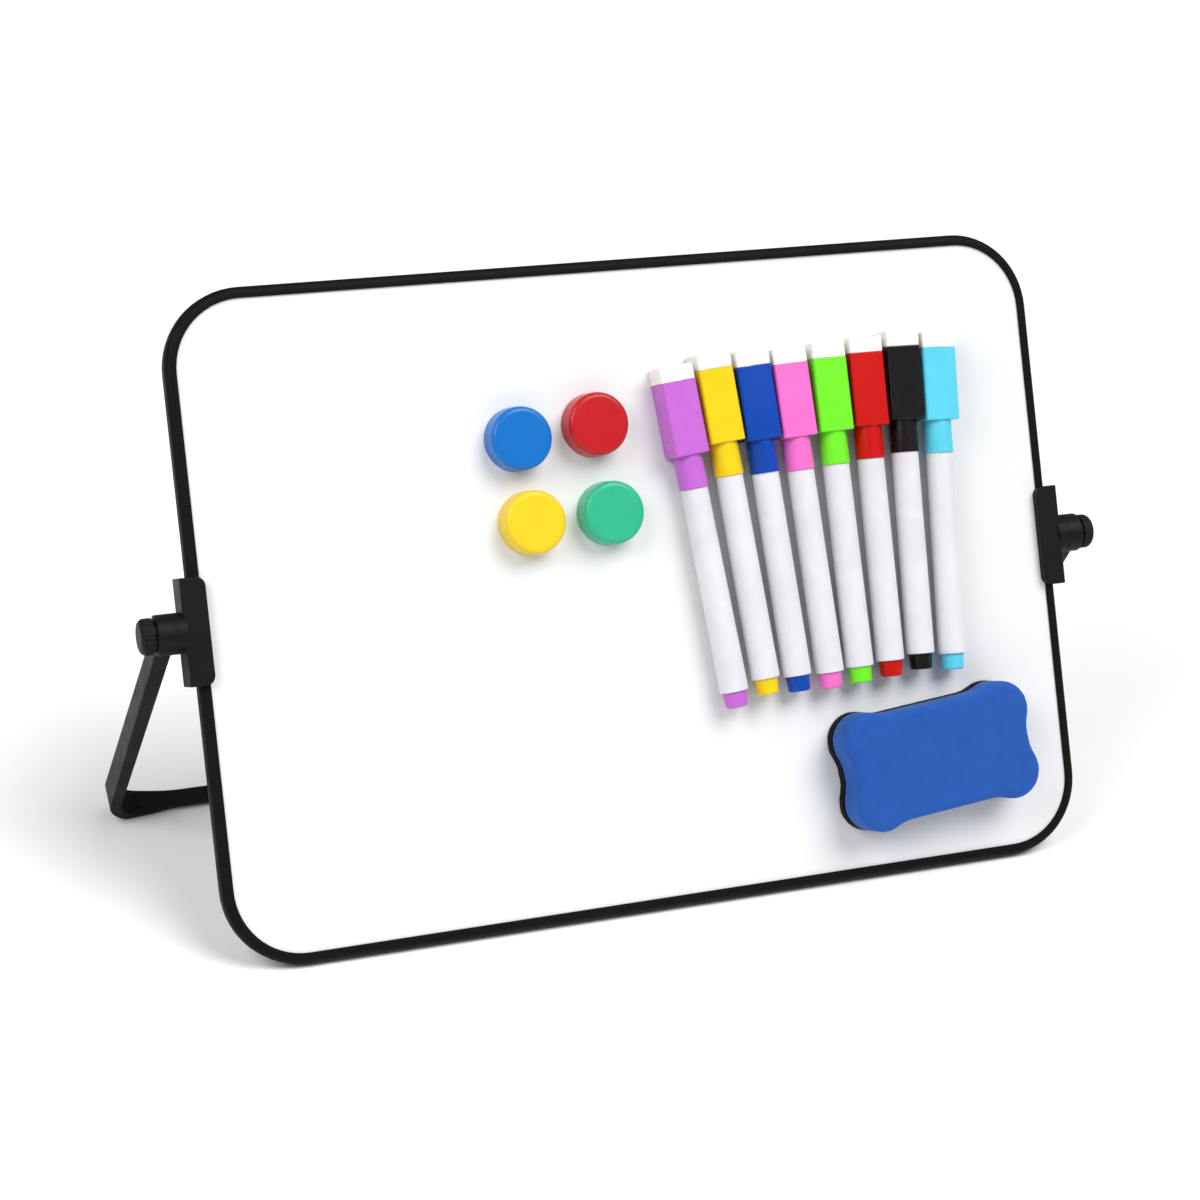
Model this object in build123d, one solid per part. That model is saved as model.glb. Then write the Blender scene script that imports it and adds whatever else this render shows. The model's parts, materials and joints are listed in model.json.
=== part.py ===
from build123d import *
import math
import os

# A desk-top magnetic whiteboard that swings in a U-shaped stand, with its magnets, markers and eraser.
# Millimetres. Pieces are drawn in the board's own frame: X to the right, Y up the board and Z out of
# its front, with zero at the middle of the board in the plane of the trim's front. Each piece is then
# leaned back with the board and set on the desk, which is Z = 0, with the front towards -Y.

# Stance on the desk
LEAN = 26.0                  # degrees that the board leans back from upright
PIVOT_TO_MIDDLE = 5.2        # from the pivot back to the middle of the floor that the whole set covers
PIVOT_RISE = 1.0             # from the board's middle up to the pivot
OVERSHOOT = 1.0              # how far a cutting shape reaches past what it cuts

# Board panel and edge trim
BOARD_WIDTH = 297.0
BOARD_HEIGHT = 210.0
BOARD_CORNER = 25.5
TRIM_DEPTH = 7.0
TRIM_FACE = 3.6              # width of the trim's lip round the white sheet
TRIM_WALL = 1.4
LIP_THICKNESS = 0.75
TRIM_ROUND = 2.3
LIP_ROUND = 0.25
TRIM_JOINT = 0.4             # gap between the two halves of the trim, under the clips
SHEET_THICKNESS = 0.35

# Side clips, which cover the trim's joints and carry the pivots
CLIP_HEIGHT = 33.4
CLIP_PLATE = 2.2
CLIP_HOOK = 1.25             # from the lip in over the sheet
CLIP_WEB = 3.1
CLIP_CORNER = 3.0
CLIP_EDGE = 1.2
CLIP_SOFTENING = 0.4
HUB_DIAMETER = 12.8          # of the clip's boss and of the stand's eye, which are flush
BOSS_LENGTH = 2.5
BOSS_ROOT = 1.0              # how far the boss is sunk into the web

# Pivot fasteners: a threaded stud in each knob, and a nut held in each clip
STUD_DIAMETER = 4.0
STUD_TIP_GAP = 0.4           # from the stud's tip to the trim
STUD_CHAMFER = 0.5
NUT_FLATS = 7.0
NUT_THICKNESS = 3.2
NUT_TO_TRIM = 0.2
NUT_CLEARANCE = 0.05
RUNNING_CLEARANCE = 0.06
WASHER_INSET = 0.1           # from the hub's rim to the washer's
WASHER_THICKNESS = 0.5
WASHER_CLEARANCE = 0.1

# Knobs
KNOB_DIAMETER = 11.4
KNOB_LENGTH = 4.1
KNOB_DOME = 2.0
KNOB_CROWN = 1.8             # of solid knob past the stud's end
KNOB_FLUTES = 24
KNOB_FLUTE_RADIUS = 0.45
KNOB_FLUTE_DEPTH = 0.2
COLLAR_INSET = 0.8           # from the grip's side in to the collar's
COLLAR_LENGTH = 0.9

# Swing stand, whose arms spread, narrow and deepen from the eyes down to the feet
EYE_WIDTH = 5.3              # along the pivot
EYE_SOFTENING = 0.6
ARM_SPREAD = 4.2             # how much further out the arm's outer face is at the foot
ARM_TOP_DEPTH = 7.1
ARM_FOOT_DEPTH = 10.0
ARM_FOOT_WIDTH = 3.8
ARM_SOFTENING = 0.6
BAR_GAP = 3.0                # from the board's edge, as it swings past, to the cross bar
BAR_THICKNESS = 2.8
BAR_DEPTH = 5.8
FOOT_DROP = 0.7              # from the cross bar's outer face to the foot's
FOOT_LENGTH = 3.0
FOOT_TAPER = 12.0
FOOT_CORNER = 11.0
FOOT_CUT = 1.2               # how much of the foot's front edge is cut off flat, to stand on
INNER_CORNER = 8.0
DEPTH_TAPER = 22.0           # length over which the cross bar thins from the arm's depth
CREASE_LENGTH = 13.0
CREASE_RADIUS = 0.8
CREASE_TIP_RADIUS = 0.1
CREASE_SPACING = 3.8
MIDDLE_BAND = 1.4            # an edge whose middle is this near to a middle plane runs across it

# Button magnets, with the middle of each on the board
MAGNET_DIAMETER = 20.7
MAGNET_HEIGHT = 8.2
MAGNET_TOP_ROUND = 1.8
MAGNET_DRAFT = 0.25          # how much smaller the top's radius is
DISC_DIAMETER = 16.0
DISC_THICKNESS = 4.0
DISC_CLEARANCE = 0.1
MAGNETS = {
    "blue": (-38.8, 50.2),
    "red": (-12.5, 52.5),
    "yellow": (-37.1, 23.4),
    "green": (-10.4, 23.9),
}

# Eraser
ERASER_MIDDLE = (92.9, -67.2)
ERASER_TILT = 5.5
ERASER_LOBE = 9.5            # radius of the lobe at each corner
LOBES_APART_X = 49.0
LOBES_APART_Y = 20.6
ERASER_SIDE_WAIST = 2.0      # how far the long sides are drawn in
ERASER_END_WAIST = 1.9       # how far the short ends are drawn in
ERASER_HOLLOW = 14.5         # radius of the hollows that lead from the lobes into the waists
FELT_THICKNESS = 4.0
FOAM_THICKNESS = 11.4
FOAM_ROUND = 1.2
STRIP_LENGTH = 40.0
STRIP_WIDTH = 12.0
STRIP_THICKNESS = 3.0
STRIP_CLEARANCE = 0.1

# Markers, from left to right: Y of each one's middle, and the tilt of its lower end towards +X
MARKER_MIDDLES = {
    "purple": 12.9,
    "yellow": 15.9,
    "blue": 15.6,
    "pink": 15.3,
    "green": 16.0,
    "red": 16.7,
    "black": 17.7,
    "sky": 16.3,
}
MARKER_TILTS = {
    "purple": 5.6,
    "yellow": 4.5,
    "blue": 3.3,
    "pink": 2.5,
    "green": 0.8,
    "red": -0.4,
    "black": -1.7,
    "sky": -2.5,
}
MARKERS_MIDDLE_X = 63.35
MARKER_GAP = 0.4             # between neighbours' caps, if they lay straight
BARREL_LIFT = 0.55           # from the sheet to the barrel's lower end
BARREL_LENGTH = 67.0
BARREL_BORE = 6.6
BARREL_SHOULDER = 0.65       # the step at the mouth of the cap
BARREL_FLARE = 0.6           # how much wider the lower end is
BARREL_END_ROUND = 0.4
NECK_LENGTH = 9.0
NECK_WALL = 0.5
NECK_CLEARANCE = 0.05
PLUG_LENGTH = 5.2
PLUG_LIP = 0.6
PLUG_DRAFT = 0.6
PLUG_FLUTES = 10
PLUG_FLUTE_RADIUS = 0.45
PLUG_FLUTE_DEPTH = 0.12
PLUG_ROUND = 0.6
SPIGOT_LENGTH = 5.0
HOLDER_INSIDE = 6.0
HOLDER_LIP = 0.2
HOLDER_FLANGE = 1.4
HOLDER_CONE = 4.6
HOLDER_TIP_WALL = 0.7
NIB_DIAMETER = 3.0
NIB_REACH = 4.5              # past the holder's tip
NIB_ROUND = 1.2
RESERVOIR_CLEARANCE = 0.1
SKIRT_LENGTH = 10.8
SKIRT_WALL = 0.75            # at its top, where it meets the block
SKIRT_FLARE = 0.4            # how much wider its mouth is
SKIRT_FLUTES = 14
SKIRT_FLUTE_RADIUS = 0.5
SKIRT_FLUTE_DEPTH = 0.12
CAP_WALL = 2.15              # from the bore to the block's side
CAP_NIB_GAP = 5.0            # from the nib's tip to the end of the bore
CAP_ROOF = 4.3               # from the end of the bore to the magnet
CAP_EDGE = 1.0
CAP_SOFTENING = 0.35
CAP_MAGNET_DIAMETER = 8.0
CAP_MAGNET_LENGTH = 6.0
PAD_LENGTH = 5.2
PAD_INSET = 0.2              # from the cap's side to the felt pad's side

# Places that follow from the sizes
PIVOT_Z = -TRIM_DEPTH / 2
SHEET_FACE = -LIP_THICKNESS
EDGE_X = BOARD_WIDTH / 2
WEB_X = EDGE_X + CLIP_WEB
BOSS_X = WEB_X + BOSS_LENGTH
EYE_X = BOSS_X + WASHER_THICKNESS
ARM_X = EYE_X + EYE_WIDTH
FOOT_X = ARM_X + ARM_SPREAD
CORNER_X = FOOT_X - ARM_FOOT_WIDTH
COLLAR_X = ARM_X + COLLAR_LENGTH
KNOB_X = COLLAR_X + KNOB_LENGTH
NUT_SEAT_X = EDGE_X + NUT_TO_TRIM + NUT_THICKNESS
STUD_BORE = STUD_DIAMETER + 2 * RUNNING_CLEARANCE
BAR_INNER = BOARD_HEIGHT / 2 + PIVOT_RISE + BAR_GAP
BAR_OUTER = BAR_INNER + BAR_THICKNESS
FOOT_REACH = BAR_OUTER + FOOT_DROP
SOCKET_X = KNOB_X - KNOB_CROWN

# A marker's sizes, with the mouth of its cap at zero and lengths measured towards the cap's top
NECK_DIAMETER = BARREL_BORE + 2 * NECK_WALL
BARREL_DIAMETER = NECK_DIAMETER + 2 * BARREL_SHOULDER
BARREL_END_DIAMETER = BARREL_DIAMETER + BARREL_FLARE
CAP_BORE = NECK_DIAMETER + 2 * NECK_CLEARANCE
CAP_WIDTH = CAP_BORE + 2 * CAP_WALL
CAP_DEPTH = BARREL_END_DIAMETER + 2 * BARREL_LIFT
HOLDER_REAR = NECK_LENGTH - HOLDER_INSIDE
HOLDER_TIP = NECK_LENGTH + HOLDER_FLANGE + HOLDER_CONE
NIB_TIP = HOLDER_TIP + NIB_REACH
BORE_END = NIB_TIP + CAP_NIB_GAP
CAP_TOP = BORE_END + CAP_ROOF + CAP_MAGNET_LENGTH
MARKER_TOP = CAP_TOP + PAD_LENGTH
MARKER_BOTTOM = -BARREL_LENGTH - PLUG_LENGTH

# The board's lower back edge stands on the desk, which sets the pivot's height
PIVOT_HEIGHT = (
    (BOARD_HEIGHT / 2 + PIVOT_RISE - TRIM_ROUND) * math.cos(math.radians(LEAN))
    + (TRIM_DEPTH / 2 - TRIM_ROUND) * math.sin(math.radians(LEAN))
    + TRIM_ROUND
)

# The front edges of the feet stand on it too, cut flat, which sets how far back the stand swings
FOOT_SLOPE = math.atan2(ARM_FOOT_DEPTH / 2, FOOT_REACH)
FOOT_RADIUS = math.hypot(ARM_FOOT_DEPTH / 2, FOOT_REACH)
STAND_ANGLE = math.degrees(FOOT_SLOPE + math.acos((PIVOT_HEIGHT + FOOT_CUT) / FOOT_RADIUS))


def box_between(low, high):
    """A box from its lowest to its highest corner."""
    size = [b - a for a, b in zip(low, high)]
    middle = [(a + b) / 2 for a, b in zip(low, high)]
    return Pos(*middle) * Box(*size)


def pivot_rod(diameter, start, end):
    """A cylinder on the right-hand pivot, from one X to another."""
    rod = Cylinder(diameter / 2, end - start)
    return Pos((start + end) / 2, PIVOT_RISE, PIVOT_Z) * Rot(Y=90) * rod


def rod_along_y(diameter, start, end):
    """A cylinder on the Y axis, from one Y to another."""
    return Pos(0, (start + end) / 2, 0) * Rot(X=90) * Cylinder(diameter / 2, end - start)


def fluted(body, flute, axis, count):
    """A round body with one flute's shape cut out of its side again and again, evenly round its axis."""
    for number in range(count):
        body -= flute.rotate(axis, 360 / count * number)
    return body


def cone_along_y(start_diameter, end_diameter, start, end):
    """A cone on the Y axis, with its diameter at the lower and at the upper Y."""
    cone = Cone(start_diameter / 2, end_diameter / 2, end - start)
    return Pos(0, (start + end) / 2, 0) * Rot(X=-90) * cone


def rounded_slab(inset, low, high):
    """The board's outline, drawn in by an inset, as a slab between two levels of Z."""
    outline = RectangleRounded(
        BOARD_WIDTH - 2 * inset, BOARD_HEIGHT - 2 * inset, BOARD_CORNER - inset
    )
    return Pos(0, 0, low) * extrude(outline, high - low)


def edge_trim():
    """The whole edge trim: a channel that holds the panel, with lips in front and behind."""
    blank = rounded_slab(0, -TRIM_DEPTH, 0)
    outer_edges = blank.edges().group_by(Axis.Z)[0] + blank.edges().group_by(Axis.Z)[-1]
    blank = fillet(outer_edges, TRIM_ROUND)
    window = rounded_slab(TRIM_FACE, -TRIM_DEPTH - OVERSHOOT, OVERSHOOT)
    trim = blank - window
    front_lip, back_lip = trim.faces().sort_by(Axis.Z)[-1], trim.faces().sort_by(Axis.Z)[0]
    lip_edges = front_lip.inner_wires()[0].edges() + back_lip.inner_wires()[0].edges()
    trim = fillet(lip_edges, LIP_ROUND)
    groove = rounded_slab(TRIM_WALL, -TRIM_DEPTH + LIP_THICKNESS, -LIP_THICKNESS)
    return trim - groove


def trim_half(whole, side):
    """The upper (1) or lower (-1) half of the trim, with half of the joint's gap cut away."""
    keep = box_between(
        (-BOARD_WIDTH, TRIM_JOINT / 2, -2 * TRIM_DEPTH), (BOARD_WIDTH, BOARD_HEIGHT, TRIM_DEPTH)
    )
    if side < 0:
        keep = mirror(keep, about=Plane.XZ)
    return whole & keep


def panel_layers():
    """Steel sheet, core and steel sheet, stacked in the trim's groove."""
    front = -LIP_THICKNESS
    back = -TRIM_DEPTH + LIP_THICKNESS
    return {
        "front_sheet": rounded_slab(TRIM_WALL, front - SHEET_THICKNESS, front),
        "core_panel": rounded_slab(TRIM_WALL, back + SHEET_THICKNESS, front - SHEET_THICKNESS),
        "back_sheet": rounded_slab(TRIM_WALL, back, back + SHEET_THICKNESS),
    }


def hex_bar(flats, start, end):
    """A hexagonal bar on the right-hand pivot, from one X to another."""
    outline = RegularPolygon(flats / 2, 6, major_radius=False)
    return Pos(start, PIVOT_RISE, PIVOT_Z) * Rot(Y=90) * extrude(outline, end - start)


def clip():
    """The right-hand clip: two plates over the trim, a web, and a boss with a captive nut's pocket."""
    lip_x = EDGE_X - TRIM_FACE
    inner_x = lip_x - CLIP_HOOK
    front = CLIP_PLATE
    back = -TRIM_DEPTH - CLIP_PLATE
    low = PIVOT_RISE - CLIP_HEIGHT / 2
    blank = box_between((inner_x, low, back), (WEB_X, low + CLIP_HEIGHT, front))
    blank = fillet(blank.edges().filter_by(Axis.Z).group_by(Axis.X)[0], CLIP_CORNER)
    blank = fillet(blank.edges().filter_by(Axis.Y).group_by(Axis.X)[-1], CLIP_EDGE)
    face_edges = blank.faces().sort_by(Axis.Z)[-1].edges() + blank.faces().sort_by(Axis.Z)[0].edges()
    blank = fillet(face_edges, CLIP_SOFTENING)
    trim_slot = box_between((lip_x, -CLIP_HEIGHT, -TRIM_DEPTH), (EDGE_X, CLIP_HEIGHT, 0))
    sheet_slot = box_between(
        (inner_x - OVERSHOOT, -CLIP_HEIGHT, -TRIM_DEPTH + LIP_THICKNESS),
        (lip_x, CLIP_HEIGHT, -LIP_THICKNESS),
    )
    boss = pivot_rod(HUB_DIAMETER, WEB_X - BOSS_ROOT, BOSS_X)
    pocket = hex_bar(NUT_FLATS + 2 * NUT_CLEARANCE, EDGE_X - OVERSHOOT, NUT_SEAT_X)
    bore = pivot_rod(STUD_BORE, EDGE_X - OVERSHOOT, BOSS_X + OVERSHOOT)
    return blank - trim_slot - sheet_slot + boss - pocket - bore


def nut():
    """The nut that sits in the right-hand clip's pocket."""
    bar = hex_bar(NUT_FLATS, NUT_SEAT_X - NUT_THICKNESS, NUT_SEAT_X)
    return bar - pivot_rod(STUD_BORE, EDGE_X, BOSS_X)


def friction_washer():
    """The washer between the right-hand clip's boss and the stand's eye."""
    ring = pivot_rod(HUB_DIAMETER - 2 * WASHER_INSET, BOSS_X, EYE_X)
    return ring - pivot_rod(STUD_DIAMETER + 2 * WASHER_CLEARANCE, WEB_X, ARM_X)


def knob():
    """The right-hand knob: a fluted, domed grip on a narrower collar, bored for its stud."""
    grip = pivot_rod(KNOB_DIAMETER, COLLAR_X, KNOB_X)
    grip = fillet(grip.edges().sort_by(Axis.X)[-1], KNOB_DOME)
    flute = pivot_rod(2 * KNOB_FLUTE_RADIUS, COLLAR_X - OVERSHOOT, KNOB_X + OVERSHOOT)
    flute = Pos(0, KNOB_DIAMETER / 2 + KNOB_FLUTE_RADIUS - KNOB_FLUTE_DEPTH, 0) * flute
    grip = fluted(grip, flute, Axis((0, PIVOT_RISE, PIVOT_Z), (1, 0, 0)), KNOB_FLUTES)
    collar = pivot_rod(KNOB_DIAMETER - 2 * COLLAR_INSET, ARM_X, COLLAR_X)
    socket = pivot_rod(STUD_DIAMETER, ARM_X - OVERSHOOT, SOCKET_X)
    return grip + collar - socket


def stud():
    """The right-hand knob's stud, from just clear of the trim to the bottom of the knob's socket."""
    rod = pivot_rod(STUD_DIAMETER, EDGE_X + STUD_TIP_GAP, SOCKET_X)
    return chamfer(rod.edges().sort_by(Axis.X)[0], STUD_CHAMFER)


def stand_outline():
    """The right half of the stand's U, seen square on: the arm, the foot and half of the cross bar."""
    neck = -HUB_DIAMETER / 2
    heel_x = FOOT_X - FOOT_CORNER - FOOT_LENGTH
    toe_x = heel_x - FOOT_TAPER
    outline = make_face(
        [
            Line((0, -BAR_INNER), (CORNER_X, -BAR_INNER)),
            Line((CORNER_X, -BAR_INNER), (EYE_X, neck)),
            Line((EYE_X, neck), (EYE_X, 0)),
            Line((EYE_X, 0), (ARM_X, 0)),
            Line((ARM_X, 0), (ARM_X, neck)),
            Line((ARM_X, neck), (FOOT_X, -FOOT_REACH)),
            Line((FOOT_X, -FOOT_REACH), (heel_x, -FOOT_REACH)),
            Spline((heel_x, -FOOT_REACH), (toe_x, -BAR_OUTER), tangents=((-1, 0), (-1, 0))),
            Line((toe_x, -BAR_OUTER), (0, -BAR_OUTER)),
            Line((0, -BAR_OUTER), (0, -BAR_INNER)),
        ]
    )
    outer_corner = outline.vertices().sort_by_distance((FOOT_X, -FOOT_REACH))[0]
    outline = fillet(outer_corner, FOOT_CORNER)
    inner_corner = outline.vertices().sort_by_distance((CORNER_X, -BAR_INNER))[0]
    return fillet(inner_corner, INNER_CORNER)


def stand_plan():
    """The right half of the stand seen from above: as deep as the foot, thinning along the cross bar."""
    thick = ARM_FOOT_DEPTH / 2
    thin = BAR_DEPTH / 2
    taper_end = CORNER_X - DEPTH_TAPER
    end = FOOT_X + OVERSHOOT
    return make_face(
        [
            Line((0, -thin), (taper_end, -thin)),
            Spline((taper_end, -thin), (CORNER_X, -thick), tangents=((1, 0), (1, 0))),
            Line((CORNER_X, -thick), (end, -thick)),
            Line((end, -thick), (end, thick)),
            Line((end, thick), (CORNER_X, thick)),
            Spline((CORNER_X, thick), (taper_end, thin), tangents=((-1, 0), (-1, 0))),
            Line((taper_end, thin), (0, thin)),
            Line((0, thin), (0, -thin)),
        ]
    )


def stand_side():
    """The stand seen from its side: an arm that deepens from the eye down to the foot."""
    return make_face(
        Polyline(
            (ARM_TOP_DEPTH / 2, 0),
            (ARM_FOOT_DEPTH / 2, -FOOT_REACH),
            (-ARM_FOOT_DEPTH / 2, -FOOT_REACH),
            (-ARM_TOP_DEPTH / 2, 0),
            close=True,
        )
    )


def crease(offset):
    """One tapered crease that runs out of the inner corner along the cross bar's inner face."""
    cone = Cone(CREASE_RADIUS, CREASE_TIP_RADIUS, CREASE_LENGTH)
    return Pos(CORNER_X - CREASE_LENGTH / 2, -BAR_INNER, offset) * Rot(Y=-90) * cone


def is_long_stand_edge(edge):
    """Whether an edge runs along the stand: not across its depth, its middle plane or its eye."""
    middle = edge.center()
    across_depth = abs(middle.Z) < MIDDLE_BAND
    on_middle_plane = middle.X < MIDDLE_BAND
    at_eye = edge.bounding_box().min.Y > -HUB_DIAMETER
    return not (across_depth or on_middle_plane or at_eye)


def stand_half():
    """The right half of the stand, square to its own frame: arms down -Y, depth along Z."""
    front_view = extrude(stand_outline(), ARM_FOOT_DEPTH, both=True)
    plan_view = Rot(X=90) * extrude(stand_plan(), 2 * FOOT_REACH)
    side_view = Rot(Y=-90) * extrude(stand_side(), 2 * FOOT_X, both=True)
    half = front_view & plan_view & side_view
    half = fillet(half.edges().filter_by(is_long_stand_edge), ARM_SOFTENING)
    half -= crease(-CREASE_SPACING / 2)
    half -= crease(CREASE_SPACING / 2)
    return half


def stand_frame():
    """The stand, swung back from the board, before its feet are cut flat."""
    eye = Rot(Y=90) * Cylinder(HUB_DIAMETER / 2, EYE_WIDTH)
    eye = fillet(eye.edges().sort_by(Axis.X)[-1], EYE_SOFTENING)
    bore = Rot(Y=90) * Cylinder(STUD_BORE / 2, 2 * EYE_WIDTH)
    eye_place = Pos((EYE_X + ARM_X) / 2, 0, 0)
    half = stand_half() + eye_place * eye - eye_place * bore
    frame = half + mirror(half, about=Plane.YZ)
    return Pos(0, PIVOT_RISE, PIVOT_Z) * Rot(X=LEAN + STAND_ANGLE) * frame


def magnet_shell():
    """A button magnet's plastic shell, standing on Z = 0, open below for the magnet disc."""
    base = Circle(MAGNET_DIAMETER / 2)
    top = Pos(0, 0, MAGNET_HEIGHT) * Circle(MAGNET_DIAMETER / 2 - MAGNET_DRAFT)
    shell = loft([base, top])
    shell = fillet(shell.edges().sort_by(Axis.Z)[-1], MAGNET_TOP_ROUND)
    well = Cylinder(DISC_DIAMETER / 2 + DISC_CLEARANCE, 2 * DISC_THICKNESS)
    return shell - well


def magnet_disc():
    """The ferrite disc in a button magnet."""
    return Pos(0, 0, DISC_THICKNESS / 2) * Cylinder(DISC_DIAMETER / 2, DISC_THICKNESS)


def hollow_arc(waist):
    """The hollow between a waist's straight part and a lobe, from the lobe's middle.

    Gives how far back along the side it starts, then how far back and out it touches the lobe.
    """
    out = ERASER_LOBE - waist + ERASER_HOLLOW
    reach = ERASER_LOBE + ERASER_HOLLOW
    run = math.sqrt(reach**2 - out**2)
    return run, run * ERASER_LOBE / reach, out * ERASER_LOBE / reach


def eraser_outline():
    """The bone-shaped outline: a round lobe at each corner, with hollows leading into straight waists."""
    lobe_x = LOBES_APART_X / 2
    lobe_y = LOBES_APART_Y / 2
    side = lobe_y + ERASER_LOBE - ERASER_SIDE_WAIST
    end = lobe_x + ERASER_LOBE - ERASER_END_WAIST
    side_run, side_back, side_out = hollow_arc(ERASER_SIDE_WAIST)
    end_run, end_back, end_out = hollow_arc(ERASER_END_WAIST)
    side_start = (lobe_x - side_run, side)
    side_touch = (lobe_x - side_back, lobe_y + side_out)
    end_start = (end, lobe_y - end_run)
    end_touch = (lobe_x + end_out, lobe_y - end_back)
    out = ERASER_LOBE * math.sqrt(0.5)
    quarter = make_face(
        [
            Line((0, 0), (0, side)),
            Line((0, side), side_start),
            TangentArc(side_start, side_touch, tangent=(1, 0)),
            ThreePointArc(side_touch, (lobe_x + out, lobe_y + out), end_touch),
            TangentArc(end_start, end_touch, tangent=(0, 1)),
            Line(end_start, (end, 0)),
            Line((end, 0), (0, 0)),
        ]
    )
    half = quarter + mirror(quarter, about=Plane.XZ)
    return half + mirror(half, about=Plane.YZ)


def eraser_pieces():
    """Foam body on a felt wiping face, with a magnet strip let into the foam's underside."""
    outline = eraser_outline()
    felt = extrude(outline, FELT_THICKNESS)
    foam = Pos(0, 0, FELT_THICKNESS) * extrude(outline, FOAM_THICKNESS)
    foam = fillet(foam.edges().group_by(Axis.Z)[-1], FOAM_ROUND)
    strip_middle = FELT_THICKNESS + STRIP_THICKNESS / 2
    strip = Pos(0, 0, strip_middle) * Box(STRIP_LENGTH, STRIP_WIDTH, STRIP_THICKNESS)
    slot = Pos(0, 0, strip_middle) * Box(
        STRIP_LENGTH + 2 * STRIP_CLEARANCE, STRIP_WIDTH + 2 * STRIP_CLEARANCE, STRIP_THICKNESS
    )
    place = Pos(*ERASER_MIDDLE, SHEET_FACE) * Rot(Z=ERASER_TILT)
    return {
        "eraser_felt": place * felt,
        "eraser_foam": place * (foam - slot),
        "eraser_magnet": place * strip,
    }


def marker_cap():
    """A marker's cap with the mouth at Y = 0: a fluted skirt, a square block and a magnet in its top."""
    block_length = CAP_TOP - SKIRT_LENGTH
    block = Pos(0, CAP_TOP - block_length / 2, 0) * Box(CAP_WIDTH, block_length, CAP_DEPTH)
    block = fillet(block.edges().filter_by(Axis.Y), CAP_EDGE)
    block = fillet(block.faces().sort_by(Axis.Y)[0].edges(), CAP_SOFTENING)
    top_diameter = CAP_BORE + 2 * SKIRT_WALL
    mouth_diameter = top_diameter + SKIRT_FLARE
    skirt = cone_along_y(mouth_diameter, top_diameter, 0, SKIRT_LENGTH)
    flute = rod_along_y(2 * SKIRT_FLUTE_RADIUS, -OVERSHOOT, SKIRT_LENGTH)
    flute = Pos(mouth_diameter / 2 + SKIRT_FLUTE_RADIUS - SKIRT_FLUTE_DEPTH, 0, 0) * flute
    skirt = fluted(skirt, flute, Axis.Y, SKIRT_FLUTES)
    bore = rod_along_y(CAP_BORE, -OVERSHOOT, BORE_END)
    pocket = rod_along_y(CAP_MAGNET_DIAMETER, CAP_TOP - CAP_MAGNET_LENGTH, CAP_TOP + OVERSHOOT)
    return block + skirt - bore - pocket


def cap_magnet():
    """The round magnet in a cap's top, under the felt pad."""
    return rod_along_y(CAP_MAGNET_DIAMETER, CAP_TOP - CAP_MAGNET_LENGTH, CAP_TOP)


def felt_pad():
    """The felt pad on a cap's top, for rubbing out."""
    pad = Box(CAP_WIDTH - 2 * PAD_INSET, PAD_LENGTH, CAP_DEPTH - 2 * PAD_INSET)
    return Pos(0, CAP_TOP + PAD_LENGTH / 2, 0) * pad


def marker_barrel():
    """A marker's barrel: a tapered tube with a neck that the cap pushes over."""
    body = cone_along_y(BARREL_END_DIAMETER, BARREL_DIAMETER, -BARREL_LENGTH, 0)
    body = fillet(body.edges().sort_by(Axis.Y)[0], BARREL_END_ROUND)
    neck = rod_along_y(NECK_DIAMETER, 0, NECK_LENGTH)
    bore = rod_along_y(BARREL_BORE, -BARREL_LENGTH - OVERSHOOT, NECK_LENGTH + OVERSHOOT)
    return body + neck - bore


def ink_reservoir():
    """The fibre rod that holds the ink, between the end plug and the nib."""
    diameter = BARREL_BORE - 2 * RESERVOIR_CLEARANCE
    return rod_along_y(diameter, -BARREL_LENGTH + SPIGOT_LENGTH, HOLDER_REAR)


def end_plug():
    """The coloured plug in the barrel's lower end."""
    diameter = BARREL_BORE + 2 * PLUG_LIP
    head = cone_along_y(diameter - PLUG_DRAFT, diameter, MARKER_BOTTOM, -BARREL_LENGTH)
    head = fillet(head.edges().sort_by(Axis.Y)[0], PLUG_ROUND)
    flute = rod_along_y(2 * PLUG_FLUTE_RADIUS, MARKER_BOTTOM - OVERSHOOT, -BARREL_LENGTH)
    flute = Pos(diameter / 2 + PLUG_FLUTE_RADIUS - PLUG_FLUTE_DEPTH, 0, 0) * flute
    head = fluted(head, flute, Axis.Y, PLUG_FLUTES)
    spigot = rod_along_y(BARREL_BORE, -BARREL_LENGTH, -BARREL_LENGTH + SPIGOT_LENGTH)
    return head + spigot


def nib_holder():
    """The tapered nose that is pressed into the neck and grips the nib."""
    cone_start = NECK_LENGTH + HOLDER_FLANGE
    flange_diameter = BARREL_BORE + 2 * HOLDER_LIP
    tip_diameter = NIB_DIAMETER + 2 * HOLDER_TIP_WALL
    plug = rod_along_y(BARREL_BORE, HOLDER_REAR, NECK_LENGTH)
    flange = rod_along_y(flange_diameter, NECK_LENGTH, cone_start)
    nose = cone_along_y(flange_diameter, tip_diameter, cone_start, HOLDER_TIP)
    hole = rod_along_y(NIB_DIAMETER, HOLDER_REAR - OVERSHOOT, HOLDER_TIP + OVERSHOOT)
    return plug + flange + nose - hole


def nib():
    """The bullet nib, from the reservoir out past the holder's tip."""
    rod = rod_along_y(NIB_DIAMETER, HOLDER_REAR, NIB_TIP)
    return fillet(rod.edges().sort_by(Axis.Y)[-1], NIB_ROUND)


def marker_pieces():
    """One marker's nodes, with the mouth of its cap at zero and the cap's top towards +Y."""
    return {
        "cap": Compound([marker_cap(), cap_magnet()]),
        "felt_pad": felt_pad(),
        "barrel": Compound([marker_barrel(), ink_reservoir()]),
        "plug_and_nib": Compound([end_plug(), nib_holder(), nib()]),
    }


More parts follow.
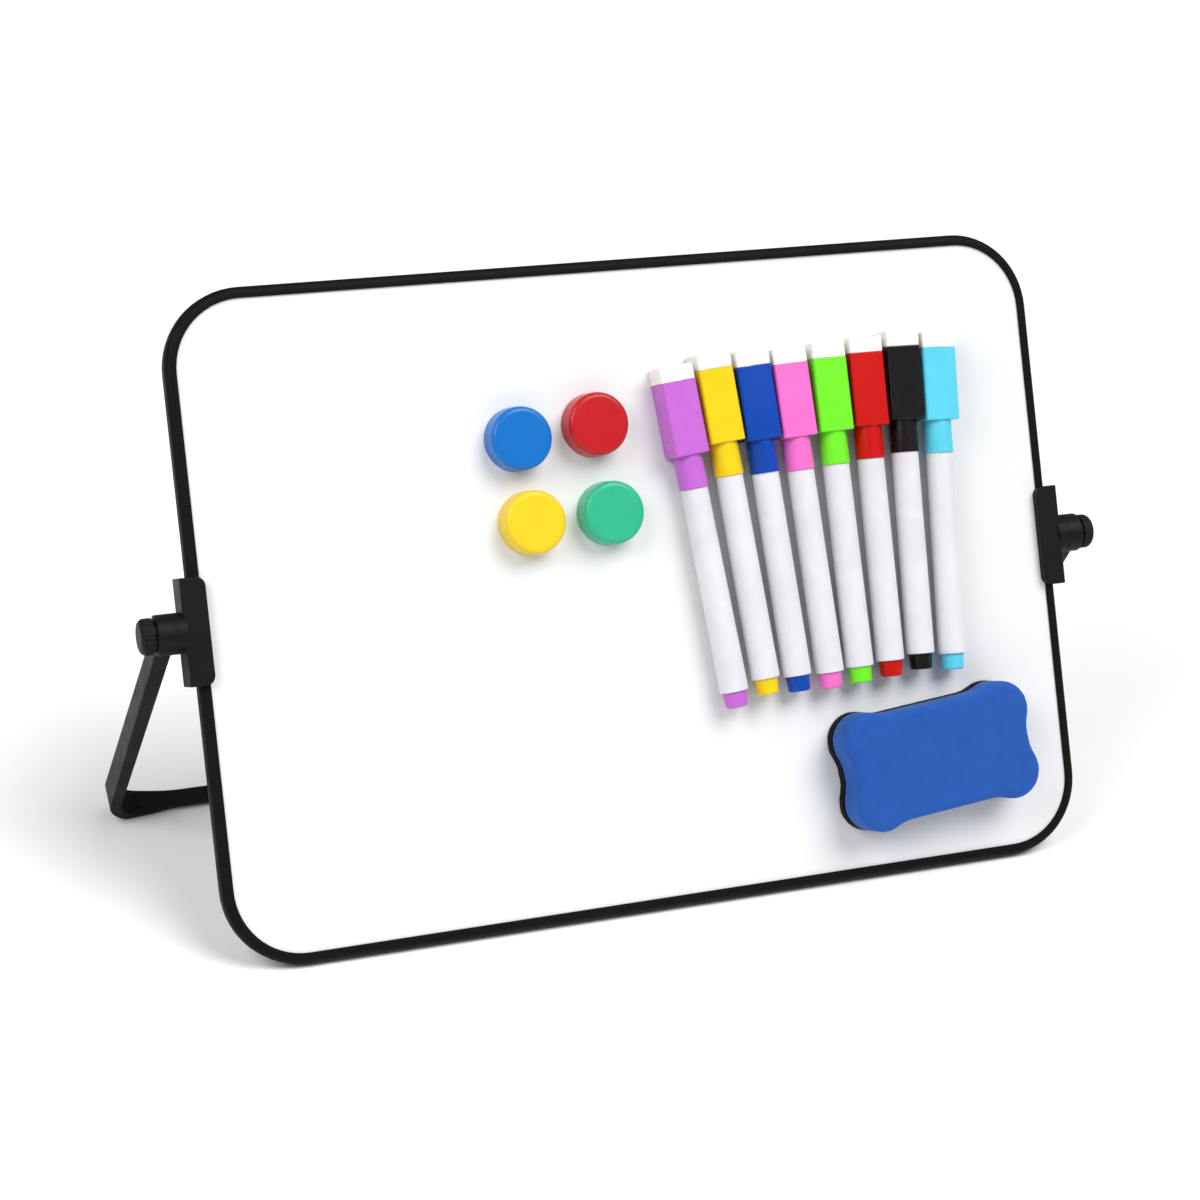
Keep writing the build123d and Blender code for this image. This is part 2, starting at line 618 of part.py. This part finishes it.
def both_sides(right):
    """A right-hand piece and its mirror image, right first."""
    return right, mirror(right, about=Plane.YZ)


def board_nodes():
    """Trim, panel, clips, nuts and washers."""
    whole_trim = edge_trim()
    right_clip, left_clip = both_sides(clip())
    nodes = {
        "upper_trim": trim_half(whole_trim, 1),
        "lower_trim": trim_half(whole_trim, -1),
        "left_clip": left_clip,
        "right_clip": right_clip,
        "clip_nuts": Compound(both_sides(nut())),
        "friction_washers": Compound(both_sides(friction_washer())),
    }
    nodes.update(panel_layers())
    return nodes


def knob_nodes():
    """Both knobs with their studs."""
    right_knob, left_knob = both_sides(knob())
    right_stud, left_stud = both_sides(stud())
    return {
        "left_knob": left_knob,
        "right_knob": right_knob,
        "left_stud": left_stud,
        "right_stud": right_stud,
    }


def magnet_nodes():
    """The button magnets on the sheet."""
    shell = magnet_shell()
    disc = magnet_disc()
    nodes = {}
    for colour, (x, y) in MAGNETS.items():
        place = Pos(x, y, SHEET_FACE)
        nodes[f"{colour}_magnet_shell"] = place * shell
        nodes[f"{colour}_magnet_disc"] = place * disc
    return nodes


def marker_nodes():
    """The markers on the sheet, side by side."""
    pieces = marker_pieces()
    half_length = (MARKER_TOP + MARKER_BOTTOM) / 2
    first = (1 - len(MARKER_MIDDLES)) / 2
    nodes = {}
    for number, (colour, y) in enumerate(MARKER_MIDDLES.items()):
        x = MARKERS_MIDDLE_X + (first + number) * (CAP_WIDTH + MARKER_GAP)
        place = Pos(x, y, SHEET_FACE + CAP_DEPTH / 2) * Rot(Z=MARKER_TILTS[colour])
        for name, piece in pieces.items():
            nodes[f"{colour}_{name}"] = place * Pos(0, -half_length, 0) * piece
    return nodes


def desk_place():
    """The move from the board's frame to the desk: lean back, lift, and centre on the floor covered."""
    return Pos(0, -PIVOT_TO_MIDDLE, PIVOT_HEIGHT) * Rot(X=90 - LEAN) * Pos(0, -PIVOT_RISE, -PIVOT_Z)


def all_nodes():
    """Every piece by name, where it stands on the desk."""
    nodes = board_nodes()
    nodes["stand_frame"] = stand_frame()
    nodes.update(knob_nodes())
    nodes.update(magnet_nodes())
    nodes.update(eraser_pieces())
    nodes.update(marker_nodes())
    placed = {name: desk_place() * piece for name, piece in nodes.items()}
    under_desk = box_between(
        (-BOARD_WIDTH, -BOARD_HEIGHT, -BOARD_HEIGHT), (BOARD_WIDTH, BOARD_HEIGHT, 0)
    )
    placed["stand_frame"] -= under_desk
    return placed


def main():
    """Write one STEP file for each node."""
    os.makedirs("parts", exist_ok=True)
    for name, piece in all_nodes().items():
        export_step(piece, f"parts/{name}.step")


if __name__ == "__main__":
    main()
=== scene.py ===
import bpy
import json
import math
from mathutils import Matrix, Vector


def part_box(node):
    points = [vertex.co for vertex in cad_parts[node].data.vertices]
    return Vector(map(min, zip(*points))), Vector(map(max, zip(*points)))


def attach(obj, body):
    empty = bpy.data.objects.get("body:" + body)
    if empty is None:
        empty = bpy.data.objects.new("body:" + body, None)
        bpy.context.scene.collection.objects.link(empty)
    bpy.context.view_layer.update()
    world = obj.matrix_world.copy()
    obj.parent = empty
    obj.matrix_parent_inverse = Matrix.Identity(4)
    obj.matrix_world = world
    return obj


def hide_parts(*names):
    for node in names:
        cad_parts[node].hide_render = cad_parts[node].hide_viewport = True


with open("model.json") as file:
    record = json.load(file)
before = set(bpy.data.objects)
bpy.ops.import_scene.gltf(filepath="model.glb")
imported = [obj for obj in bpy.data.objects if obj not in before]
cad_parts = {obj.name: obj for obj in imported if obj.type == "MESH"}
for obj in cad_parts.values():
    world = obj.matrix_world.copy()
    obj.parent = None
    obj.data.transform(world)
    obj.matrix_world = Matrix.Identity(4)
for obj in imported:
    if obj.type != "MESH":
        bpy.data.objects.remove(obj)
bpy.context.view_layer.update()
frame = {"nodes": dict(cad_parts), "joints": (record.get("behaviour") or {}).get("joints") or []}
nodes = frame["nodes"]
scene = bpy.context.scene

# Camera
# It stands where the photograph was taken from: in front, to the left and above the board. Its place and
# turn were fitted to the outline of the board's trim.

camera_data = bpy.data.cameras.new("camera")
camera_data.sensor_width = 36.0
camera_data.lens = 87.75
camera = bpy.data.objects.new("camera", camera_data)
camera.location = (-0.3396, -0.7914, 0.4983)
camera.rotation_euler = (math.radians(64.371), math.radians(-3.215), math.radians(-20.953))
scene.collection.objects.link(camera)
scene.camera = camera
scene.view_settings.view_transform = "Standard"

# White sheets
# The writing face and its twin behind are steel sheet with baked white enamel. Its orange peel is only
# just felt in the reflections, and dry wiping has left faint streaks in the gloss.

MM = 0.001
EDGE_SAMPLES = 4


def linear(colour):
    """An sRGB colour such as #3161B9 as the linear RGBA that a shader takes."""
    channels = [int(colour[start:start + 2], 16) / 255 for start in (1, 3, 5)]
    lit = [c / 12.92 if c <= 0.04045 else ((c + 0.055) / 1.055) ** 2.4 for c in channels]
    return (*lit, 1.0)


def socket(sockets, name):
    """The socket of that name that is in use: some nodes keep unused ones of the same name."""
    return next(one for one in sockets if one.name == name and one.enabled)


def add(tree, kind, inputs=None, **properties):
    """A new node with its properties set, and its inputs set to values or linked to other sockets."""
    made = tree.nodes.new(kind)
    for name, value in properties.items():
        setattr(made, name, value)
    for name, value in (inputs or {}).items():
        target = made.inputs[name] if isinstance(name, int) else socket(made.inputs, name)
        if isinstance(value, bpy.types.NodeSocket):
            tree.links.new(value, target)
        else:
            target.default_value = value
    return made


def start_material(name, **settings):
    """A new material, with constant settings on its Principled shader: the material, tree and shader."""
    made = bpy.data.materials.new(name)
    made.use_nodes = True
    shader = made.node_tree.nodes["Principled BSDF"]
    for key, value in settings.items():
        shader.inputs[key.replace("_", " ")].default_value = value
    return made, made.node_tree, shader


def blend(tree, factor, first, second):
    """A colour between two colours, by a factor."""
    mixed = add(tree, "ShaderNodeMix", {"Factor": factor, "A": first, "B": second}, data_type="RGBA")
    return socket(mixed.outputs, "Result")


def spread(tree, value, low, high, least, most):
    """A value that runs from the least to the most as another runs from low to high."""
    limits = {"Value": value, "From Min": low, "From Max": high, "To Min": least, "To Max": most}
    return add(tree, "ShaderNodeMapRange", limits).outputs["Result"]


def finish_surface(tree, shader, height, depth, softened):
    """Bump as deep as a real depth in metres, laid over edges that are softened to a radius."""
    edge = add(tree, "ShaderNodeBevel", {"Radius": softened}, samples=EDGE_SAMPLES)
    bump = add(
        tree,
        "ShaderNodeBump",
        {"Height": height, "Distance": depth, "Strength": 1.0, "Normal": edge.outputs["Normal"]},
    )
    tree.links.new(bump.outputs["Normal"], shader.inputs["Normal"])


def dress(material, *names):
    """Give CAD nodes a material in place of the plain one that they came with."""
    for name in names:
        nodes[name].data.materials.clear()
        nodes[name].data.materials.append(material)


enamel, tree, shader = start_material(
    "baked_white_enamel", Base_Color=linear("#DEDFE0"), IOR=1.52, Coat_Weight=0.3, Coat_Roughness=0.08
)
place = add(tree, "ShaderNodeTexCoord").outputs["Object"]
wiped = add(
    tree, "ShaderNodeMapping", {"Vector": place, "Rotation": (0.5, 0.0, 0.35), "Scale": (8.0, 90.0, 90.0)}
)
streaks = add(
    tree,
    "ShaderNodeTexNoise",
    {"Vector": wiped.outputs["Vector"], "Scale": 1.0, "Detail": 6.0, "Roughness": 0.6},
)
tree.links.new(spread(tree, streaks.outputs["Fac"], 0.35, 0.7, 0.29, 0.32), shader.inputs["Roughness"])
peel = add(tree, "ShaderNodeTexNoise", {"Vector": place, "Scale": 1 / (2.5 * MM), "Detail": 1.0})
finish_surface(tree, shader, peel.outputs["Fac"], 0.004 * MM, 0.2 * MM)
dress(enamel, "front_sheet", "back_sheet")

# Core panel
# Grey fibre board, pressed from waste paper and glued between the two sheets to keep them flat and apart.
# It shows only in the joint between the trim's halves.

fibre_board, tree, shader = start_material("grey_fibre_board", Roughness=0.9)
place = add(tree, "ShaderNodeTexCoord").outputs["Object"]
fibres = add(
    tree,
    "ShaderNodeTexNoise",
    {"Vector": place, "Scale": 1 / (0.6 * MM), "Detail": 6.0, "Distortion": 2.0},
).outputs["Fac"]
tree.links.new(blend(tree, fibres, linear("#77726A"), linear("#A39C90")), shader.inputs["Base Color"])
finish_surface(tree, shader, fibres, 0.05 * MM, 0.1 * MM)
dress(fibre_board, "core_panel")

# Edge trim
# Extruded black PVC, satin from the die, bent round the panel in two halves that meet under the clips.
# Its corners are rubbed a little paler where the board has stood and been held, and the paler edge colour
# is also a painted highlight along them.


def worn_and_highlit_edges(tree, place, radius):
    """A mask that is 1 along sharp edges, broken up as handling breaks it up, and 0 elsewhere; it marks
    both edge wear and a painted highlight along the edges.
    """
    rounded = add(tree, "ShaderNodeBevel", {"Radius": radius}, samples=EDGE_SAMPLES).outputs["Normal"]
    true_normal = add(tree, "ShaderNodeNewGeometry").outputs["True Normal"]
    agree = add(tree, "ShaderNodeVectorMath", {0: rounded, 1: true_normal}, operation="DOT_PRODUCT")
    edge = spread(tree, agree.outputs["Value"], 1.0, 0.75, 0.0, 1.0)
    patches = add(tree, "ShaderNodeTexNoise", {"Vector": place, "Scale": 1 / (6 * MM), "Detail": 4.0})
    rubbed_and_highlit = spread(tree, patches.outputs["Fac"], 0.4, 0.7, 0.0, 1.0)
    return add(tree, "ShaderNodeMath", {0: edge, 1: rubbed_and_highlit}, operation="MULTIPLY").outputs["Value"]


def moulded(name, colour, worn_and_highlit, gloss, grain, grain_depth, **settings):
    """Formed plastic: an even colour with faint flow marks, fine grain, and paler edges, partly rubbed by
    handling and partly a painted highlight.
    """
    made, tree, shader = start_material(name, **settings)
    place = add(tree, "ShaderNodeTexCoord").outputs["Object"]
    flow = add(
        tree,
        "ShaderNodeTexNoise",
        {"Vector": place, "Scale": 1 / (18 * MM), "Detail": 3.0, "Distortion": 1.5},
    )
    shade = spread(tree, flow.outputs["Fac"], 0.3, 0.7, 0.95, 1.04)
    marked = add(tree, "ShaderNodeHueSaturation", {"Color": linear(colour), "Value": shade})
    # Edges are blended to a paler colour: partly real rubbing, partly a painted highlight along them.
    rubbed_and_highlit = blend(tree, worn_and_highlit_edges(tree, place, 0.35 * MM), marked.outputs["Color"], linear(worn_and_highlit))
    tree.links.new(rubbed_and_highlit, shader.inputs["Base Color"])
    handled = add(tree, "ShaderNodeTexNoise", {"Vector": place, "Scale": 1 / (9 * MM), "Detail": 5.0})
    roughness = spread(tree, handled.outputs["Fac"], 0.3, 0.7, 0.88 * gloss, 1.15 * gloss)
    tree.links.new(roughness, shader.inputs["Roughness"])
    texture = add(tree, "ShaderNodeTexNoise", {"Vector": place, "Scale": 1 / grain, "Detail": 2.0})
    finish_surface(tree, shader, texture.outputs["Fac"], grain_depth, 0.4 * MM)
    return made


trim_pvc = moulded(
    "extruded_black_PVC", "#0D0D0E", "#1A1A1B", 0.55, 0.5 * MM, 0.006 * MM, Specular_IOR_Level=0.08
)
dress(trim_pvc, "upper_trim", "lower_trim")

# Side clips, stand and knobs
# Black ABS from spark-eroded moulds, so they are duller than the trim and finely grained. The clips hook
# over the trim, and the stand swings between them on the knobs' studs.

frame_abs = moulded(
    "moulded_black_ABS", "#0C0D0D", "#1E201F", 0.5, 0.3 * MM, 0.014 * MM, Specular_IOR_Level=0.14
)
dress(frame_abs, "left_clip", "right_clip", "stand_frame", "left_knob", "right_knob")

# Friction washers
# Rings moulded in black nylon, one on each side. The knob's screw squeezes its ring between the clip's
# boss and the stand's eye, and so holds the board at its lean.

washer_nylon = moulded(
    "moulded_black_nylon", "#0B0C0C", "#1E1F1F", 0.5, 0.2 * MM, 0.008 * MM, Specular_IOR_Level=0.2
)
dress(washer_nylon, "friction_washers")

# Studs and nuts
# Turned steel with bright zinc plating, whose fine crystals cloud its shine. Each stud is fast in its
# knob, and each nut sits in a pocket of its clip.

zinc, tree, shader = start_material("zinc_plated_steel", Metallic=1.0)
place = add(tree, "ShaderNodeTexCoord").outputs["Object"]
crystals = add(tree, "ShaderNodeTexVoronoi", {"Vector": place, "Scale": 1 / (0.7 * MM)}).outputs["Distance"]
tree.links.new(blend(tree, crystals, linear("#A9ADB3"), linear("#C9CDD2")), shader.inputs["Base Color"])
tree.links.new(spread(tree, crystals, 0.0, 1.0, 0.28, 0.42), shader.inputs["Roughness"])
finish_surface(tree, shader, crystals, 0.004 * MM, 0.1 * MM)
dress(zinc, "clip_nuts", "left_stud", "right_stud")

# Button magnets
# Glossy ABS shells in four colours, each with a disc of fired ferrite pressed in from below, dark grey
# and finely grained.

ferrite, tree, shader = start_material("sintered_ferrite", Metallic=0.3)
place = add(tree, "ShaderNodeTexCoord").outputs["Object"]
grains = add(tree, "ShaderNodeTexVoronoi", {"Vector": place, "Scale": 1 / (0.4 * MM)}).outputs["Distance"]
tree.links.new(blend(tree, grains, linear("#242426"), linear("#454548")), shader.inputs["Base Color"])
tree.links.new(spread(tree, grains, 0.0, 1.0, 0.5, 0.75), shader.inputs["Roughness"])
finish_surface(tree, shader, grains, 0.02 * MM, 0.2 * MM)

# Each shell has a face colour and a paler edge colour. The edge colour shows wear and is also a painted
# highlight along the edges.
for colour, face, worn_and_highlit in (
    ("blue", "#0466B4", "#3680C4"),
    ("red", "#B0141B", "#C63E44"),
    ("yellow", "#DEBE1C", "#EACF50"),
    ("green", "#2CA880", "#56BE9C"),
):
    shell_abs = moulded(
        f"moulded_{colour}_ABS", face, worn_and_highlit, 0.28, 0.8 * MM, 0.003 * MM, Specular_IOR_Level=0.3
    )
    dress(shell_abs, f"{colour}_magnet_shell")
    dress(ferrite, f"{colour}_magnet_disc")

# Marker barrels
# Tubes moulded in white polypropylene, a little wider at the lower end. They look slightly waxy, because
# light goes a little way into them.

barrel_pp = moulded(
    "moulded_white_polypropylene",
    "#D3D3D8",
    "#DCDCE0",
    0.32,
    0.6 * MM,
    0.004 * MM,
    IOR=1.49,
    Subsurface_Weight=0.15,
    Subsurface_Radius=(1 * MM, 1 * MM, 1 * MM),
)

# Marker caps and end plugs
# Glossy polypropylene, dyed right through, in one colour for both ends of each marker. The magnet in
# the cap's top and the nib inside it are not seen.

# Each colour pairs a face colour with a paler edge colour. The edge colour shows wear and is also a painted
# highlight along the edges.
MARKER_COLOURS = {
    "purple": ("#B660C3", "#CC86D6"),
    "yellow": ("#E1C10D", "#EBD24C"),
    "blue": ("#013D9D", "#2F60B4"),
    "pink": ("#E168BA", "#EC8CCB"),
    "green": ("#69DD24", "#8CE65A"),
    "red": ("#BA0502", "#CC3A34"),
    "black": ("#080908", "#1C1E1C"),
    "sky": ("#54C0D8", "#80D0E2"),
}
for colour, (face, worn_and_highlit) in MARKER_COLOURS.items():
    cap_pp = moulded(
        f"moulded_{colour}_polypropylene", face, worn_and_highlit, 0.28, 0.7 * MM, 0.003 * MM, Specular_IOR_Level=0.3
    )
    dress(cap_pp, f"{colour}_cap", f"{colour}_plug_and_nib")
    dress(barrel_pp, f"{colour}_barrel")

# Felt pads on the marker caps
# A block of pressed white wool felt is glued on top of each cap as a small wiper. Its fibres are matted
# every way, with a fuzz of loose ends on the faces that are free.


def settle(piece):
    """Turn what a piece's modifiers make into its own mesh."""
    evaluated = piece.evaluated_get(bpy.context.evaluated_depsgraph_get())
    mesh = bpy.data.meshes.new_from_object(evaluated)
    piece.modifiers.clear()
    piece.data = mesh


def even_skin(node, voxel, rounds):
    """A new object: the node's solid under a skin of small even faces, with its edges softened."""
    skin = bpy.data.objects.new(f"soft_{node}", nodes[node].data.copy())
    scene.collection.objects.link(skin)
    remesh = skin.modifiers.new("even faces", "REMESH")
    remesh.mode = "VOXEL"
    remesh.voxel_size = voxel
    smooth = skin.modifiers.new("soft edges", "SMOOTH")
    smooth.factor = 0.5
    smooth.iterations = rounds
    settle(skin)
    return skin


def put_in_place(piece, node, body):
    """Smooth a soft piece's faces, hang it on the body that it moves with, and hide the CAD node that it
    stands for.
    """
    for polygon in piece.data.polygons:
        polygon.use_smooth = True
    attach(piece, body)
    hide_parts(node)


def joint_axis(name):
    """The direction of a joint, which is also the way that its piece comes off."""
    return Vector(next(joint["axis"] for joint in frame["joints"] if joint["name"] == name)).normalized()


def felt_material(name, painted_gap_shade, light, sheen):
    """Pressed felt of one colour, with painted shade in the hollows between its fibres and the fibres' own
    light colour on the raised parts.
    """
    made, tree, shader = start_material(
        name, Roughness=0.95, Sheen_Weight=sheen, Sheen_Roughness=0.5, Specular_IOR_Level=0.1
    )
    place = add(tree, "ShaderNodeTexCoord").outputs["Object"]
    strand_length = 1.6 * MM
    strand_width = 0.16 * MM
    matted = 0.0
    for turn in (0.3, 1.35, 2.4):
        along = add(
            tree,
            "ShaderNodeMapping",
            {
                "Vector": place,
                "Rotation": (turn, 1.7 * turn, 2.3 * turn),
                "Scale": (1 / strand_length, 1 / strand_width, 1 / strand_width),
            },
        )
        strands = add(
            tree,
            "ShaderNodeTexNoise",
            {"Vector": along.outputs["Vector"], "Scale": 1.0, "Detail": 2.0, "Distortion": 0.6},
        )
        both = {0: matted, 1: strands.outputs["Fac"]}
        matted = add(tree, "ShaderNodeMath", both, operation="MAXIMUM").outputs["Value"]
    lift = spread(tree, matted, 0.45, 0.75, 0.0, 1.0)
    # The hollows of the fibre pattern take the darker colour, which is painted shade between the fibres.
    tree.links.new(blend(tree, lift, linear(painted_gap_shade), linear(light)), shader.inputs["Base Color"])
    finish_surface(tree, shader, lift, 0.05 * MM, 0.2 * MM)
    return made


fuzz = bpy.data.node_groups.new("felt_fuzz", "GeometryNodeTree")
for name, kind in (
    ("Felt", "NodeSocketGeometry"),
    ("Fibres per square metre", "NodeSocketFloat"),
    ("Shortest fibre", "NodeSocketFloat"),
    ("Longest fibre", "NodeSocketFloat"),
    ("Fibre radius", "NodeSocketFloat"),
    ("Free side", "NodeSocketVector"),
    ("Seed", "NodeSocketInt"),
    ("Material", "NodeSocketMaterial"),
):
    fuzz.interface.new_socket(name, in_out="INPUT", socket_type=kind)
fuzz.interface.new_socket("Felt", in_out="OUTPUT", socket_type="NodeSocketGeometry")
given = add(fuzz, "NodeGroupInput").outputs
facing = add(
    fuzz,
    "ShaderNodeVectorMath",
    {0: add(fuzz, "GeometryNodeInputNormal").outputs["Normal"], 1: given["Free side"]},
    operation="DOT_PRODUCT",
)
least_facing = -0.3
free = add(
    fuzz,
    "FunctionNodeCompare",
    {"A": facing.outputs["Value"], "B": least_facing},
    data_type="FLOAT",
    operation="GREATER_THAN",
)
scattered = add(
    fuzz,
    "GeometryNodeDistributePointsOnFaces",
    {
        "Mesh": given["Felt"],
        "Selection": free.outputs["Result"],
        "Density": given["Fibres per square metre"],
        "Seed": given["Seed"],
    },
)
fibre = add(
    fuzz,
    "GeometryNodeMeshCone",
    {"Vertices": 3, "Radius Top": 0.0, "Radius Bottom": given["Fibre radius"], "Depth": 1.0},
)
widest_lean = 1.1
full_turn = 6.28
lean = add(
    fuzz,
    "FunctionNodeRandomValue",
    {
        "Min": (-widest_lean, -widest_lean, 0.0),
        "Max": (widest_lean, widest_lean, full_turn),
        "Seed": given["Seed"],
    },
    data_type="FLOAT_VECTOR",
)
length = add(
    fuzz,
    "FunctionNodeRandomValue",
    {"Min": given["Shortest fibre"], "Max": given["Longest fibre"], "Seed": given["Seed"]},
    data_type="FLOAT",
)
turned = add(
    fuzz,
    "FunctionNodeRotateRotation",
    {"Rotation": scattered.outputs["Rotation"], "Rotate By": socket(lean.outputs, "Value")},
    rotation_space="LOCAL",
)
stretched = add(
    fuzz, "ShaderNodeCombineXYZ", {"X": 1.0, "Y": 1.0, "Z": socket(length.outputs, "Value")}
)
fibres = add(
    fuzz,
    "GeometryNodeInstanceOnPoints",
    {
        "Points": scattered.outputs["Points"],
        "Instance": fibre.outputs["Mesh"],
        "Rotation": turned.outputs["Rotation"],
        "Scale": stretched.outputs["Vector"],
    },
)
together = add(fuzz, "GeometryNodeJoinGeometry")
fuzz.links.new(given["Felt"], together.inputs["Geometry"])
fuzz.links.new(fibres.outputs["Instances"], together.inputs["Geometry"])
real = add(fuzz, "GeometryNodeRealizeInstances", {"Geometry": together.outputs["Geometry"]})
coloured = add(
    fuzz,
    "GeometryNodeSetMaterial",
    {"Geometry": real.outputs["Geometry"], "Material": given["Material"]},
)
add(fuzz, "NodeGroupOutput", {"Felt": coloured.outputs["Geometry"]})


def felt_piece(node, body, material, voxel, fibres_per_mm2, free_side, seed):
    """A felt piece over its CAD solid, with fuzz on its free sides, in place on its body."""
    piece = even_skin(node, voxel, 2)
    modifier = piece.modifiers.new("fuzz", "NODES")
    modifier.node_group = fuzz
    values = {
        "Fibres per square metre": fibres_per_mm2 / MM**2,
        "Shortest fibre": 0.15 * MM,
        "Longest fibre": 0.55 * MM,
        "Fibre radius": 0.018 * MM,
        "Free side": free_side,
        "Seed": seed,
        "Material": material,
    }
    for item in fuzz.interface.items_tree:
        if item.in_out == "INPUT" and item.name in values:
            modifier[item.identifier] = values[item.name]
    settle(piece)
    put_in_place(piece, node, body)


# The first colour is painted shade in the hollows between the fibres.
white_felt = felt_material("pressed_white_wool_felt", "#F0ECE2", "#FBFAF6", 0.2)
for seed, colour in enumerate(MARKER_COLOURS):
    free_side = (joint_axis(f"{colour}_marker_lift") + joint_axis(f"{colour}_cap_pull")).normalized()
    felt_piece(
        f"{colour}_felt_pad", f"{colour}_marker_cap", white_felt, 0.3 * MM, 5, free_side, seed
    )

# Eraser's felt
# A sheet of black wool felt, cut to the foam's outline and glued under it as the wiping face. The strip
# magnet of sintered ferrite lies above it, let into the foam.

# The first colour is painted shade in the hollows between the fibres.
black_felt = felt_material("pressed_black_wool_felt", "#060607", "#141518", 0.03)
off_the_sheet = joint_axis("eraser_lift")
felt_piece("eraser_felt", "eraser", black_felt, 0.5 * MM, 3, off_the_sheet, len(MARKER_COLOURS))
dress(ferrite, "eraser_magnet")

# Eraser's foam
# A die-cut block of blue EVA foam. Its closed cells show as a fine skin of dents, and the block is a
# little fuller in its middle and rounded off at its edges.

foam_eva, tree, shader = start_material(
    "die_cut_blue_EVA_foam",
    Sheen_Weight=0.03,
    Sheen_Roughness=0.6,
    Specular_IOR_Level=0.25,
    Subsurface_Weight=0.5,
    Subsurface_Radius=(3 * MM, 4 * MM, 6 * MM),
    Subsurface_Scale=1.0,
)
place = add(tree, "ShaderNodeTexCoord").outputs["Object"]
cells = add(tree, "ShaderNodeTexVoronoi", {"Vector": place, "Scale": 1 / (0.35 * MM)}).outputs["Distance"]
mottle = add(tree, "ShaderNodeTexNoise", {"Vector": place, "Scale": 1 / (4 * MM), "Detail": 8.0})
patch = spread(tree, mottle.outputs["Fac"], 0.3, 0.7, 0.0, 1.0)
tree.links.new(blend(tree, patch, linear("#134B9A"), linear("#1851A2")), shader.inputs["Base Color"])
tree.links.new(spread(tree, cells, 0.0, 1.0, 0.65, 0.85), shader.inputs["Roughness"])
finish_surface(tree, shader, cells, 0.03 * MM, 2.5 * MM)

skin_face = 0.55 * MM
smoothing_rounds = 14
foam = even_skin("eraser_foam", skin_face, smoothing_rounds)
foam.data.materials.clear()
foam.data.materials.append(foam_eva)
low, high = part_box("eraser_foam")
middle = (low + high) / 2
swelling = 0.4 * MM
half_length = (high.x - low.x) / 2
sideways = off_the_sheet.cross(Vector((1.0, 0.0, 0.0)))
half_width = max(abs((vertex.co - middle).dot(sideways)) for vertex in foam.data.vertices)
half_depth = max((vertex.co - middle).dot(off_the_sheet) for vertex in foam.data.vertices)
for vertex in foam.data.vertices:
    offset = vertex.co - middle
    in_length = 1 - (offset.x / half_length) ** 2
    in_width = 1 - (offset.dot(sideways) / half_width) ** 2
    above = max(0.0, offset.dot(off_the_sheet) / half_depth)
    vertex.co += off_the_sheet * swelling * in_length * in_width * above
put_in_place(foam, "eraser_foam", "eraser")

# Desk
# A wide sheet of matt white paper, laid flat, that the board and the stand's feet stand on. It isn't part
# of the object.

desk_paper, tree, shader = start_material("matt_white_paper", Roughness=0.9)
place = add(tree, "ShaderNodeTexCoord").outputs["Object"]
paper = add(tree, "ShaderNodeTexNoise", {"Vector": place, "Scale": 1 / (2 * MM), "Detail": 4.0})
pale = blend(tree, paper.outputs["Fac"], linear("#F4F4F4"), linear("#F7F7F7"))
tree.links.new(pale, shader.inputs["Base Color"])
desk_mesh = bpy.data.meshes.new("desk")
reach = 4.0
desk_mesh.from_pydata(
    [(-reach, -reach, 0.0), (reach, -reach, 0.0), (reach, reach, 0.0), (-reach, reach, 0.0)],
    [],
    [(0, 1, 2, 3)],
)
desk_mesh.materials.append(desk_paper)
desk = bpy.data.objects.new("desk", desk_mesh)
scene.collection.objects.link(desk)

# Light
# A broad, even light from above on the right, as from a window wall, a soft box on the left that lights
# the left sides and glints on rounded edges, and a dimmer white surround that fills the shadows.


def hang(name, kind, place, energy):
    """A light of a kind at a place, turned to face the middle of the board."""
    light = bpy.data.lights.new(name, kind)
    light.energy = energy
    lamp = bpy.data.objects.new(name, light)
    lamp.location = place
    lamp.rotation_euler = (Vector((0.0, 0.0, 0.1)) - lamp.location).to_track_quat("-Z", "Y").to_euler()
    scene.collection.objects.link(lamp)
    return light


window = hang("window_light", "SUN", (0.65, -0.72, 1.6), 2.65)
window.angle = math.radians(40)
box = hang("soft_box", "AREA", (-1.0, -0.45, 1.1), 11.5)
box.size = 0.8
surround = bpy.data.worlds.new("surround")
surround.use_nodes = True
background = surround.node_tree.nodes["Background"]
background.inputs["Color"].default_value = (1.0, 1.0, 1.0, 1.0)
background.inputs["Strength"].default_value = 0.33
scene.world = surround
